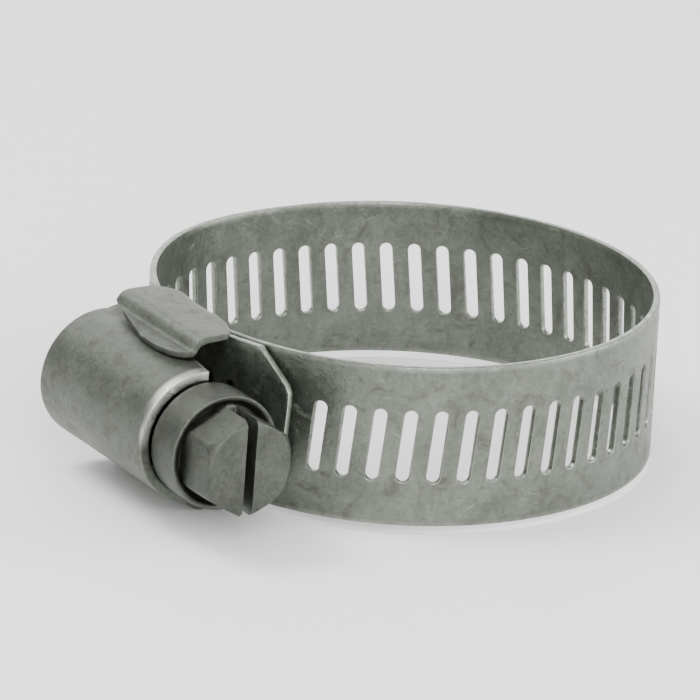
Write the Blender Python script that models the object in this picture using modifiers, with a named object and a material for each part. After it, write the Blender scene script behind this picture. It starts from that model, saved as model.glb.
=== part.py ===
"""Worm-drive hose clamp with a 14.3 mm perforated band, modelled near the open end of its range.

Frame: the origin is at the centre of the band's ring, halfway up its width. +Z is the ring's axis. +X is the
screw's axis, from the housing towards the screw's head. The housing stands at -Y.

The band is one strip on the real clamp. Its fixed end lies in the housing on the saddle, the strip runs once round
the ring, enters the rear of the housing over its own fixed end, and its tail leaves under the screw's head. Here
the strip is cut into short stiff pieces with a hinge between each two, so that the ring can tighten.
"""

import math

import bmesh
import bpy
import numpy as np
from mathutils import Matrix

MM = 0.001

# Band
RING_R = 21.95  # ring radius at mid-thickness, for a bore of 43.3
BAND_T = 0.60
BAND_W = 14.3
SLOT_PITCH = 2.59
SLOT_L = 6.5
SLOT_W = 1.13
SLOT_SLANT = math.radians(5.6)
FIRST_SLOT = math.radians(39.1)  # angle round the ring from the housing to the first slot
HINGE_GAP = 0.30
PITCHES_PER_SEGMENT = 4
SEGMENTS = 10

# Layers inside the housing: arcs about the channel centre (0, CHANNEL_Y)
CHANNEL_Y = 1.5
TAIL_R = 23.45  # tail layer, mid-thickness
FIXED_R = 22.65  # fixed layer, mid-thickness
SADDLE_R = 21.80  # saddle plate, mid-thickness
SADDLE_T = 0.70

# Tail
SEAM_X = -2.9
TAIL_TIP_X = 12.7
TAIL_SLOT_END_X = 6.9
TAIL_CORNER = 2.9

# Screw
AXIS_Y = -26.1
THREAD_CREST_R = 4.35
THREAD_ROOT_R = 3.40
THREAD_CREST_W = 0.62
THREAD_ROOT_W = 1.05
THREAD_X0, THREAD_X1 = -6.6, 7.0
PILOT_R = 2.9
SHANK_R = 3.5
COLLAR_R = 5.1
COLLAR_X0, COLLAR_X1 = 10.35, 14.1
HEX_AF = 7.94
HEX_X1 = 18.3
HEX_CHAMFER_R = 4.25
SLOT_HEAD_W = 0.95
SLOT_HEAD_DEPTH = 3.7
SCREW_TURN = math.radians(-3.0)

# Housing
SHELL_T = 0.80
BARREL_R = 5.90
HOUSING_X0, HOUSING_X1 = -7.7, 10.0
FOOT_X1 = 6.3

STEEL = (0.40, 0.415, 0.385)


def clear_scene():
    for obj in list(bpy.data.objects):
        bpy.data.objects.remove(obj, do_unlink=True)


def collection(name):
    found = bpy.data.collections.new(name)
    bpy.context.scene.collection.children.link(found)
    return found


def material(name, colour, roughness):
    made = bpy.data.materials.new(name)
    made.use_nodes = True
    shader = made.node_tree.nodes["Principled BSDF"]
    shader.inputs["Base Color"].default_value = (*colour, 1)
    shader.inputs["Metallic"].default_value = 1.0
    shader.inputs["Roughness"].default_value = roughness
    return made


def smooth(t):
    t = min(max(t, 0.0), 1.0)
    return t * t * (3 - 2 * t)


def arc_radius(beta, radius):
    """Distance from the ring's centre to an arc about the channel centre, at this angle from the housing."""
    c = CHANNEL_Y
    return -c * math.cos(beta) + math.sqrt(radius**2 - (c * math.sin(beta)) ** 2)


def band_radius(beta):
    """Mid-thickness radius of the strip. 0 is the fixed end under the housing, 2 pi the tail over it."""
    deg = math.degrees(beta)
    if deg < 180:
        t = smooth((deg - 20) / 70)
        return arc_radius(beta, FIXED_R) * (1 - t) + RING_R * t
    t = smooth((deg - 265) / 45)
    return RING_R * (1 - t) + arc_radius(beta, TAIL_R) * t


def band_point(beta):
    r = band_radius(beta)
    return np.array([r * math.sin(beta), -r * math.cos(beta)])


# Arc length along the strip, from the housing's middle line
BETAS = np.radians(np.linspace(-20, 400, 8401))
PATH = np.array([band_point(b) for b in BETAS])
LENGTHS = np.concatenate([[0], np.cumsum(np.linalg.norm(np.diff(PATH, axis=0), axis=1))])
LENGTHS -= np.interp(0, BETAS, LENGTHS)


def beta_at(length):
    return float(np.interp(length, LENGTHS, BETAS))


def length_at(beta):
    return float(np.interp(beta, BETAS, LENGTHS))


FIRST_LENGTH = length_at(FIRST_SLOT)
HINGE_LENGTHS = [
    FIRST_LENGTH - SLOT_PITCH / 2 + i * PITCHES_PER_SEGMENT * SLOT_PITCH
    for i in range(SEGMENTS + 1)
]
HINGES = [band_point(beta_at(s)) for s in HINGE_LENGTHS]


def tail_angle(x):
    """Angle about the channel centre of a point of the tail layer at this x."""
    return math.asin(x / TAIL_R)


def tail_point(angle, straighten=True):
    """Mid-thickness point of the tail layer. Past the housing the tip leaves the arc and stands off the ring."""
    lift = 0.0
    if straighten:
        past = max(0.0, math.degrees(angle) - 19)
        lift = 0.0045 * past**2
    r = TAIL_R + lift
    return np.array([r * math.sin(angle), CHANNEL_Y - r * math.cos(angle)])


def evaluated_copy(obj):
    """The object's evaluated mesh, welded and with its faces turned outwards."""
    graph = bpy.context.evaluated_depsgraph_get()
    mesh = bpy.data.meshes.new_from_object(obj.evaluated_get(graph))
    bm = bmesh.new()
    bm.from_mesh(mesh)
    bmesh.ops.remove_doubles(bm, verts=bm.verts, dist=1e-6)
    bmesh.ops.recalc_face_normals(bm, faces=bm.faces)
    bm.to_mesh(mesh)
    bm.free()
    return mesh


def settle(obj, where, name=None):
    """Replaces a curve or a modified mesh with a plain mesh object of the same shape and place."""
    mesh = evaluated_copy(obj)
    made = bpy.data.objects.new(name or obj.name, mesh)
    made.matrix_world = obj.matrix_world.copy()
    bpy.data.objects.remove(obj, do_unlink=True)
    made.name = name or made.name
    mesh.name = made.name
    where.objects.link(made)
    return made


def sheet(name, points, width, thickness, where, plane="XY", at=0.0, origin=(0, 0, 0)):
    """A strip of sheet metal: a line in a plane, extruded to its width and given its thickness.

    plane XY extrudes along Z, and plane YZ extrudes along X.
    """
    data = bpy.data.curves.new(name, "CURVE")
    data.dimensions = "3D"
    data.extrude = width / 2 * MM
    spline = data.splines.new("POLY")
    spline.points.add(len(points) - 1)
    off = np.array(origin[:2]) if plane == "XY" else np.array(origin[1:])
    for p, point in zip(spline.points, points):
        u, v = np.array(point) - off
        p.co = (u * MM, v * MM, 0, 1)
    obj = bpy.data.objects.new(name + "_line", data)
    where.objects.link(obj)
    if plane == "YZ":
        # local X, Y, Z become world Y, Z, X
        obj.matrix_world = Matrix(((0, 0, 1, at * MM), (1, 0, 0, origin[1] * MM), (0, 1, 0, origin[2] * MM), (0, 0, 0, 1)))
    else:
        obj.matrix_world = Matrix.Translation((origin[0] * MM, origin[1] * MM, at * MM))
    bpy.context.view_layer.update()
    strip = settle(obj, where, name)
    bpy.context.view_layer.update()
    solid = strip.modifiers.new("Thickness", "SOLIDIFY")
    solid.thickness = thickness * MM
    solid.offset = 0
    solid.use_even_offset = True
    bpy.context.view_layer.update()
    return settle(strip, where, name)


def primitive(name, bm, where, matrix=None):
    mesh = bpy.data.meshes.new(name)
    bmesh.ops.recalc_face_normals(bm, faces=bm.faces)
    bm.to_mesh(mesh)
    bm.free()
    made = bpy.data.objects.new(name, mesh)
    where.objects.link(made)
    if matrix is not None:
        made.matrix_world = matrix
    return made


def box(name, low, high, where):
    bm = bmesh.new()
    low, high = np.array(low) * MM, np.array(high) * MM
    size = high - low
    middle = (high + low) / 2
    bmesh.ops.create_cube(bm, size=1, matrix=Matrix.Translation(middle) @ Matrix.Diagonal((*size, 1)))
    return primitive(name, bm, where)


def turned(name, profile, steps, where):
    """A round solid about the X axis through the object's origin, from (x, radius) points with closed ends."""
    bm = bmesh.new()
    rows = [bm.verts.new((r * MM, 0, x * MM)) for x, r in reversed(profile)]
    for a, b in zip(rows, rows[1:]):
        bm.edges.new((a, b))
    mesh = bpy.data.meshes.new(name)
    bm.to_mesh(mesh)
    bm.free()
    obj = bpy.data.objects.new(name, mesh)
    where.objects.link(obj)
    screw = obj.modifiers.new("Turn", "SCREW")
    screw.axis = "Z"
    screw.steps = screw.render_steps = steps
    screw.use_merge_vertices = True
    screw.merge_threshold = 1e-6
    # local Z becomes world X
    obj.matrix_world = Matrix(((0, 0, 1, 0), (1, 0, 0, 0), (0, 1, 0, 0), (0, 0, 0, 1)))
    bpy.context.view_layer.update()
    return settle(obj, where, name)


def bake_transform(obj):
    obj.data.transform(obj.matrix_world)
    obj.matrix_world = Matrix()


def cut(obj, cutter, operation="DIFFERENCE"):
    modifier = obj.modifiers.new(operation.title(), "BOOLEAN")
    modifier.operation = operation
    modifier.solver = "EXACT"
    modifier.object = cutter
    cutter.hide_render = True
    cutter.display_type = "WIRE"
    return modifier


def place(obj, origin):
    """Puts the object's origin at this point without moving its surface."""
    bake_transform(obj)
    origin = np.array(origin, float) * MM
    obj.data.transform(Matrix.Translation(-origin))
    obj.location = origin


def finish(obj, mat, angle=35):
    obj.data.materials.clear()
    obj.data.materials.append(mat)
    obj.data.shade_smooth()
    obj.data.set_sharp_from_angle(angle=math.radians(angle))


def slot_cutter(name, frames, where, length=SLOT_L, width=SLOT_W, depth=2.4):
    """Slots with round ends. Each frame is a point in the XY plane and the outward direction there."""
    bm = bmesh.new()
    for point, out in frames:
        made = bmesh.ops.create_cone(
            bm, cap_ends=True, segments=8, radius1=width / 2 * MM, radius2=width / 2 * MM, depth=depth * MM,
            matrix=Matrix.Rotation(math.pi / 8, 4, "Z"),
        )["verts"]
        for v in made:
            v.co.y += math.copysign((length - width) / 2 * MM, v.co.y)
        along = np.array([-out[1], out[0], 0.0])
        x = np.array([*along])
        z = np.array([out[0], out[1], 0.0])
        y = np.array([0, 0, 1.0])
        lean = y * math.cos(SLOT_SLANT) + x * math.sin(SLOT_SLANT)
        side = np.cross(lean, z)
        m = Matrix(((side[0], lean[0], z[0], point[0] * MM), (side[1], lean[1], z[1], point[1] * MM), (side[2], lean[2], z[2], 0), (0, 0, 0, 1)))
        bmesh.ops.transform(bm, matrix=m, verts=made)
    return primitive(name, bm, where)


def ring_frame(length):
    beta = beta_at(length)
    point = band_point(beta)
    ahead = band_point(beta + 1e-4) - band_point(beta - 1e-4)
    ahead /= np.linalg.norm(ahead)
    return point, np.array([ahead[1], -ahead[0]])


def slots_between(a, b, margin=0.9):
    first = math.ceil((a + margin - FIRST_LENGTH) / SLOT_PITCH)
    last = math.floor((b - margin - FIRST_LENGTH) / SLOT_PITCH)
    return [FIRST_LENGTH + k * SLOT_PITCH for k in range(max(first, 0), last + 1)]


def strip_points(a, b, step=1.05):
    n = max(2, round((b - a) / step))
    return [band_point(beta_at(s)) for s in np.linspace(a, b, n + 1)]


def build():
    clear_scene()
    parts = collection("Hose clamp")
    cutters = collection("Cutters")
    cutters.hide_render = True
    steel = material("Band steel", STEEL, 0.42)
    housing_steel = material("Housing steel", (0.42, 0.435, 0.40), 0.48)
    saddle_steel = material("Saddle steel", (0.41, 0.425, 0.395), 0.46)
    screw_steel = material("Screw steel", (0.30, 0.31, 0.285), 0.55)

    # Fixed end of the band, on the saddle and out under the screw's head to the first hinge
    start = length_at(math.radians(-15.5))
    fixed = sheet(
        "band_fixed_end", strip_points(start, HINGE_LENGTHS[0] - HINGE_GAP / 2), BAND_W, BAND_T, parts
    )
    finish(fixed, steel)

    # Ring segments, each with its origin on the hinge at its start
    before = fixed
    here = np.zeros(3)
    for i in range(SEGMENTS):
        a, b = HINGE_LENGTHS[i], HINGE_LENGTHS[i + 1]
        name = f"band_segment_{i + 1:02d}"
        seg = sheet(name, strip_points(a + HINGE_GAP / 2, b - HINGE_GAP / 2), BAND_W, BAND_T, parts)
        hinge = np.array([*HINGES[i], 0.0])
        place(seg, hinge)
        seg.parent = before
        seg.location = (hinge - here) * MM
        finish(seg, steel)
        cut(seg, slot_cutter(name + "_slots", [ring_frame(s) for s in slots_between(a, b)], cutters))
        before, here = seg, hinge

    # Entry piece: the last of the ring, which runs into the rear of the housing
    seam_beta = 2 * math.pi + math.asin(SEAM_X / arc_radius(math.asin(SEAM_X / TAIL_R), TAIL_R))
    seam = length_at(seam_beta)
    a = HINGE_LENGTHS[-1]
    entry = sheet("band_entry", strip_points(a + HINGE_GAP / 2, seam - HINGE_GAP / 2), BAND_W, BAND_T, parts)
    hinge = np.array([*HINGES[-1], 0.0])
    place(entry, hinge)
    entry.parent = before
    entry.location = (hinge - here) * MM
    finish(entry, steel)
    slots = slots_between(a, seam, 0.8)
    cut(entry, slot_cutter("band_entry_slots", [ring_frame(s) for s in slots], cutters))

    # Tail: under the worm, and out below the screw's head. It turns about the channel centre.
    gap = HINGE_GAP / 2 / TAIL_R
    a0, a1 = tail_angle(SEAM_X) + gap, tail_angle(TAIL_TIP_X)
    points = [tail_point(t) for t in np.linspace(a0, a1, 19)]
    tail = sheet("band_tail", points, BAND_W, BAND_T, parts)
    place(tail, (0, CHANNEL_Y, 0))
    finish(tail, steel)
    frames, worm_phase = [], None
    k = len(slots_between(HINGE_LENGTHS[0], seam, 0.8))
    while True:
        s = FIRST_LENGTH + k * SLOT_PITCH
        angle = tail_angle(SEAM_X) + (s - seam) / TAIL_R
        x = TAIL_R * math.sin(angle)
        if x > TAIL_SLOT_END_X:
            break
        if x > SEAM_X + 0.8:
            out = np.array([math.sin(angle), -math.cos(angle)])
            frames.append((tail_point(angle, False), out))
            if worm_phase is None or abs(x) < abs(worm_phase):
                worm_phase = x
        k += 1
    cut(tail, slot_cutter("band_tail_slots", frames, cutters))
    for sign in (1, -1):
        bm = bmesh.new()
        bmesh.ops.create_cube(bm, size=1, matrix=Matrix.Diagonal((8 * MM, 8 * MM, 8 * MM, 1)))
        angle = a1
        tip = tail_point(angle)
        out = np.array([math.sin(angle), -math.cos(angle), 0])
        along = np.array([math.cos(angle), math.sin(angle), 0])
        up = np.array([0, 0, float(sign)])
        edge = (along + up) / math.sqrt(2)
        other = np.cross(out, edge)
        corner = np.array([*tip, sign * BAND_W / 2]) - along * TAIL_CORNER / 2 - up * TAIL_CORNER / 2
        middle = (corner + edge * 4) * MM
        m = Matrix(((edge[0], other[0], out[0], middle[0]), (edge[1], other[1], out[1], middle[1]), (edge[2], other[2], out[2], middle[2]), (0, 0, 0, 1)))
        bmesh.ops.transform(bm, matrix=m, verts=bm.verts)
        cut(tail, primitive(f"tail_corner_{'top' if sign > 0 else 'bottom'}", bm, cutters))

    # Saddle: a curved plate under the fixed end, with an ear folded up over each foot of the housing
    half = math.asin(6.25 / SADDLE_R)
    arc = [
        (SADDLE_R * math.sin(t), CHANNEL_Y - SADDLE_R * math.cos(t)) for t in np.linspace(-half, half, 15)
    ]
    saddle = sheet("saddle", arc, 15.9, SADDLE_T, parts)
    for sign in (1, -1):
        line = [(-18.7, 7.78), (-22.9, 7.78), (-23.55, 7.62), (-24.3, 7.2), (-25.0, 6.75), (-26.0, 6.42)]
        # each ear is pressed from the sheet edge at the barrel down to the plate
        ear = sheet(
            f"ear_{'top' if sign > 0 else 'bottom'}", [(y, sign * z) for y, z in line], 12.5, SADDLE_T, cutters, plane="YZ"
        )
        inner = turned_about_z(f"ear_trim_{sign}", SADDLE_R - SADDLE_T / 2 - 0.004, 40, cutters)
        ear_cut = ear.modifiers.new("Trim", "BOOLEAN")
        ear_cut.operation = "DIFFERENCE"
        ear_cut.object = inner
        inner.hide_render = True
        inner.display_type = "WIRE"
        bpy.context.view_layer.update()
        ear = settle(ear, cutters, ear.name)
        cut(saddle, ear, "UNION")
    finish(saddle, saddle_steel)

    # Housing: the barrel over the screw, with a foot along each side that stands on the band
    mid = BARREL_R - SHELL_T / 2
    arc = [(AXIS_Y - mid * math.cos(t), mid * math.sin(t)) for t in np.radians(np.linspace(-92, 92, 31))]
    foot = [(-25.1, 5.60), (-24.5, 5.85), (-23.8, 6.35), (-23.25, 6.75)]
    line = [(y, -z) for y, z in reversed(foot)] + arc + foot
    housing = sheet("housing", line, HOUSING_X1 - HOUSING_X0, SHELL_T, parts, plane="YZ", at=(HOUSING_X0 + HOUSING_X1) / 2)
    bake_transform(housing)
    for sign in (1, -1):
        low, high = sorted((sign * 5.2, sign * 9.0))
        cut(housing, box(f"foot_end_{sign}", (FOOT_X1, -25.0, low), (HOUSING_X1 + 1, -20, high), cutters))
    finish(housing, housing_steel)

    # Screw: thread, shank, collar and slotted hexagon in one piece, turning about X
    core = turned(
        "worm_screw",
        [
            (THREAD_X0 - 0.9, 0.0),
            (THREAD_X0 - 0.9, PILOT_R),
            (THREAD_X0 - 0.3, THREAD_ROOT_R),
            (THREAD_X1 + 0.4, THREAD_ROOT_R),
            (THREAD_X1 + 0.6, SHANK_R),
            (COLLAR_X0 - 0.1, SHANK_R),
            (COLLAR_X0, COLLAR_R - 0.3),
            (COLLAR_X0 + 0.3, COLLAR_R),
            (COLLAR_X1 - 0.35, COLLAR_R),
            (COLLAR_X1, COLLAR_R - 0.35),
            (COLLAR_X1, 0.0),
        ],
        32,
        parts,
    )
    bake_transform(core)
    thread = helix_thread(worm_phase, cutters)
    cut(core, thread, "UNION")
    bm = bmesh.new()
    bmesh.ops.create_cone(
        bm, cap_ends=True, segments=6, radius1=HEX_AF / math.sqrt(3) * MM, radius2=HEX_AF / math.sqrt(3) * MM,
        depth=(HEX_X1 - COLLAR_X1 + 0.5) * MM,
    )
    # corners up and down; local Z becomes world X
    turn = Matrix(((0, 0, 1, (HEX_X1 + COLLAR_X1 - 0.5) / 2 * MM), (1, 0, 0, 0), (0, 1, 0, 0), (0, 0, 0, 1)))
    bmesh.ops.rotate(bm, verts=bm.verts, matrix=Matrix.Rotation(math.pi / 6, 3, "Z"))
    found = max(v.co.y for v in bm.verts)
    if found < HEX_AF / math.sqrt(3) * MM * 0.99:
        bmesh.ops.rotate(bm, verts=bm.verts, matrix=Matrix.Rotation(math.pi / 6, 3, "Z"))
    bmesh.ops.transform(bm, matrix=turn, verts=bm.verts)
    hexagon = primitive("hexagon", bm, cutters)
    chamfer = turned(
        "hexagon_chamfer",
        [(COLLAR_X1 - 2, 0.0), (COLLAR_X1 - 2, 6.0), (HEX_X1 - 1.0, 6.0), (HEX_X1 - 0.35, HEX_CHAMFER_R + 0.35), (HEX_X1, HEX_CHAMFER_R - 0.25), (HEX_X1, 0.0)],
        32,
        cutters,
    )
    bake_transform(chamfer)
    cut(hexagon, chamfer, "INTERSECT")
    bpy.context.view_layer.update()
    hexagon = settle(hexagon, cutters, "hexagon")
    cut(core, hexagon, "UNION")
    cut(
        core,
        box("head_slot", (HEX_X1 - SLOT_HEAD_DEPTH, -SLOT_HEAD_W / 2, -6), (HEX_X1 + 2, SLOT_HEAD_W / 2, 6), cutters),
    )
    bpy.context.view_layer.update()
    screw = settle(core, parts, "worm_screw")
    screw.location = (0, AXIS_Y * MM, 0)
    finish(screw, screw_steel, 30)


def turned_about_z(name, radius, segments, where):
    bm = bmesh.new()
    bmesh.ops.create_cone(bm, cap_ends=True, segments=segments * 2, radius1=radius * MM, radius2=radius * MM, depth=24 * MM)
    bmesh.ops.translate(bm, verts=bm.verts, vec=(0, CHANNEL_Y * MM, 0))
    return primitive(name, bm, where)


def helix_thread(phase, where):
    """Right-hand thread whose crest on the band's side stands in a slot at x = phase."""
    steps_per_turn = 24
    turns = int((THREAD_X1 - THREAD_X0 - THREAD_ROOT_W) / SLOT_PITCH * 4) / 4
    # start so that the crest faces the band (+Y) at x = phase
    start_x = THREAD_X0 + THREAD_ROOT_W / 2
    start_angle = 2 * math.pi * ((start_x - phase) / SLOT_PITCH % 1.0)
    inner = THREAD_ROOT_R - 0.35
    widen = (THREAD_ROOT_W - THREAD_CREST_W) / (THREAD_CREST_R - THREAD_ROOT_R)
    foot = THREAD_ROOT_W + widen * (THREAD_ROOT_R - inner)
    section = [(-foot / 2, inner), (foot / 2, inner), (THREAD_CREST_W / 2, THREAD_CREST_R), (-THREAD_CREST_W / 2, THREAD_CREST_R)]
    bm = bmesh.new()
    corners = [bm.verts.new((r * MM, 0, x * MM)) for x, r in section]
    for a, b in zip(corners, corners[1:] + corners[:1]):
        bm.edges.new((a, b))
    mesh = bpy.data.meshes.new("thread")
    bm.to_mesh(mesh)
    bm.free()
    obj = bpy.data.objects.new("thread", mesh)
    where.objects.link(obj)
    screw = obj.modifiers.new("Helix", "SCREW")
    screw.axis = "Z"
    screw.angle = 2 * math.pi * turns
    screw.screw_offset = SLOT_PITCH * turns * MM
    screw.steps = screw.render_steps = int(steps_per_turn * turns)
    # local Z becomes world X, local X becomes world Y at the start angle
    turn = Matrix(((0, 0, 1, start_x * MM), (1, 0, 0, 0), (0, 1, 0, 0), (0, 0, 0, 1))) @ Matrix.Rotation(start_angle, 4, "Z")
    obj.matrix_world = turn
    bpy.context.view_layer.update()
    made = settle(obj, where, "thread")
    bake_transform(made)
    bm = bmesh.new()
    bm.from_mesh(made.data)
    bmesh.ops.holes_fill(bm, edges=bm.edges, sides=4)
    bmesh.ops.recalc_face_normals(bm, faces=bm.faces)
    bm.to_mesh(made.data)
    bm.free()
    made.hide_render = True
    made.display_type = "WIRE"
    return made


build()
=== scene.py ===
import math

import bmesh
import bpy
import numpy as np
from mathutils import Matrix, Vector, noise


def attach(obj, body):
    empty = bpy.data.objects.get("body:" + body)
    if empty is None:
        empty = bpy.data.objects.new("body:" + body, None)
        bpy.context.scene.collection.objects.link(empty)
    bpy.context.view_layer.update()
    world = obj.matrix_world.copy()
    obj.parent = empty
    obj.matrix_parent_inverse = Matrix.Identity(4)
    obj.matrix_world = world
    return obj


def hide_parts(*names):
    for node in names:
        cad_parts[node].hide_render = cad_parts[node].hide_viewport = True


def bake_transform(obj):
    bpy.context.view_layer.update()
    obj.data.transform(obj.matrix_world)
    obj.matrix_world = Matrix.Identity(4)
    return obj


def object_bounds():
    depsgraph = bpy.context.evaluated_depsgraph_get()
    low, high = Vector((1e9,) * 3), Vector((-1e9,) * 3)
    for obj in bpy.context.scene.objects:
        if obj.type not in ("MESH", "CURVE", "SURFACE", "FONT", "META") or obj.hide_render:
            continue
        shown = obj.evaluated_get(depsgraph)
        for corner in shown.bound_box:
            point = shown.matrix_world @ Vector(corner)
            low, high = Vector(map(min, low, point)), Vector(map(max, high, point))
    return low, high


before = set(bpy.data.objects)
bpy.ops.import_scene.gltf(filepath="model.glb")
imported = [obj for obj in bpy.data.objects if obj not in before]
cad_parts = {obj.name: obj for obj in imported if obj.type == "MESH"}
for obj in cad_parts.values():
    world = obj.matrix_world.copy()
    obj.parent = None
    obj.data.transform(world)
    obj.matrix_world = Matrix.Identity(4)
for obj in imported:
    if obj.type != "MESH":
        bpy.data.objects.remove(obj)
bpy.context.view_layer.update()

MM = 0.001

# ---------------------------------------------------------------------------------------------
# Driving dimensions, in millimetres, the same as the CAD model's
# ---------------------------------------------------------------------------------------------
RING_R, BAND_T, BAND_W = 21.95, 0.60, 14.3
SLOT_PITCH, SLOT_L, SLOT_W = 2.59, 6.5, 1.13
SLOT_SLANT = math.radians(5.6)
FIRST_SLOT = math.radians(39.1)
HINGE_GAP, PITCHES, SEGMENTS = 0.30, 4, 10
CHANNEL_Y, TAIL_R, FIXED_R = 1.5, 23.45, 22.65
SADDLE_R, SADDLE_T = 21.80, 0.70
SEAM_X, TAIL_TIP_X, TAIL_SLOT_END_X = -2.9, 12.7, 6.9
AXIS_Y = -26.1
THREAD_CREST_R, THREAD_ROOT_R = 4.35, 3.40
THREAD_CREST_W, THREAD_ROOT_W = 0.62, 1.05
THREAD_X0, THREAD_X1 = -6.6, 7.0
PILOT_R, SHANK_R = 2.9, 3.5
COLLAR_R, COLLAR_X0, COLLAR_X1 = 5.1, 10.35, 14.1
HEX_AF, HEX_X1 = 7.94, 18.3
SLOT_HEAD_W, SLOT_HEAD_DEPTH = 0.95, 3.7
SCREW_TURN = math.radians(-1.7)
SHELL_T, BARREL_R = 0.80, 5.90
HOUSING_X0, HOUSING_X1, FOOT_X1 = -7.7, 10.0, 6.3


def smooth(t):
    t = min(max(t, 0.0), 1.0)
    return t * t * (3 - 2 * t)


def arc_radius(beta, radius):
    c = CHANNEL_Y
    return -c * math.cos(beta) + math.sqrt(radius**2 - (c * math.sin(beta)) ** 2)


def band_radius(beta):
    deg = math.degrees(beta)
    if deg < 180:
        t = smooth((deg - 20) / 70)
        return arc_radius(beta, FIXED_R) * (1 - t) + RING_R * t
    t = smooth((deg - 265) / 45)
    return RING_R * (1 - t) + arc_radius(beta, TAIL_R) * t


def band_point(beta):
    r = band_radius(beta)
    return np.array([r * math.sin(beta), -r * math.cos(beta)])


BETAS = np.radians(np.linspace(-20, 400, 8401))
PATH = np.array([band_point(b) for b in BETAS])
LENGTHS = np.concatenate([[0], np.cumsum(np.linalg.norm(np.diff(PATH, axis=0), axis=1))])
LENGTHS -= np.interp(0, BETAS, LENGTHS)


def length_at(beta):
    return float(np.interp(beta, BETAS, LENGTHS))


FIRST_LENGTH = length_at(FIRST_SLOT)
HINGE_LENGTHS = [FIRST_LENGTH - SLOT_PITCH / 2 + i * PITCHES * SLOT_PITCH for i in range(SEGMENTS + 1)]


def path_frame(s):
    """Mid-thickness points and outward normals of the strip at arc lengths s."""
    beta = np.interp(s, LENGTHS, BETAS)
    p = np.stack([np.interp(s, LENGTHS, PATH[:, 0]), np.interp(s, LENGTHS, PATH[:, 1])], 1)
    e = 0.25
    a = np.stack([np.interp(s + e, LENGTHS, PATH[:, 0]), np.interp(s + e, LENGTHS, PATH[:, 1])], 1)
    b = np.stack([np.interp(s - e, LENGTHS, PATH[:, 0]), np.interp(s - e, LENGTHS, PATH[:, 1])], 1)
    t = a - b
    t /= np.linalg.norm(t, axis=1)[:, None]
    return p, np.stack([t[:, 1], -t[:, 0]], 1), t


def tail_frame(s):
    """The same for the tail layer. s is arc length along the channel arc from x = 0."""
    ang = s / TAIL_R
    past = np.maximum(0.0, np.degrees(ang) - 19)
    r = TAIL_R + 0.0045 * past**2
    p = np.stack([r * np.sin(ang), CHANNEL_Y - r * np.cos(ang)], 1)
    e = 0.01
    def at(x):
        q = np.maximum(0.0, np.degrees(x) - 19)
        rr = TAIL_R + 0.0045 * q**2
        return np.stack([rr * np.sin(x), CHANNEL_Y - rr * np.cos(x)], 1)
    t = at(ang + e) - at(ang - e)
    t /= np.linalg.norm(t, axis=1)[:, None]
    return p, np.stack([t[:, 1], -t[:, 0]], 1), t


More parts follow.
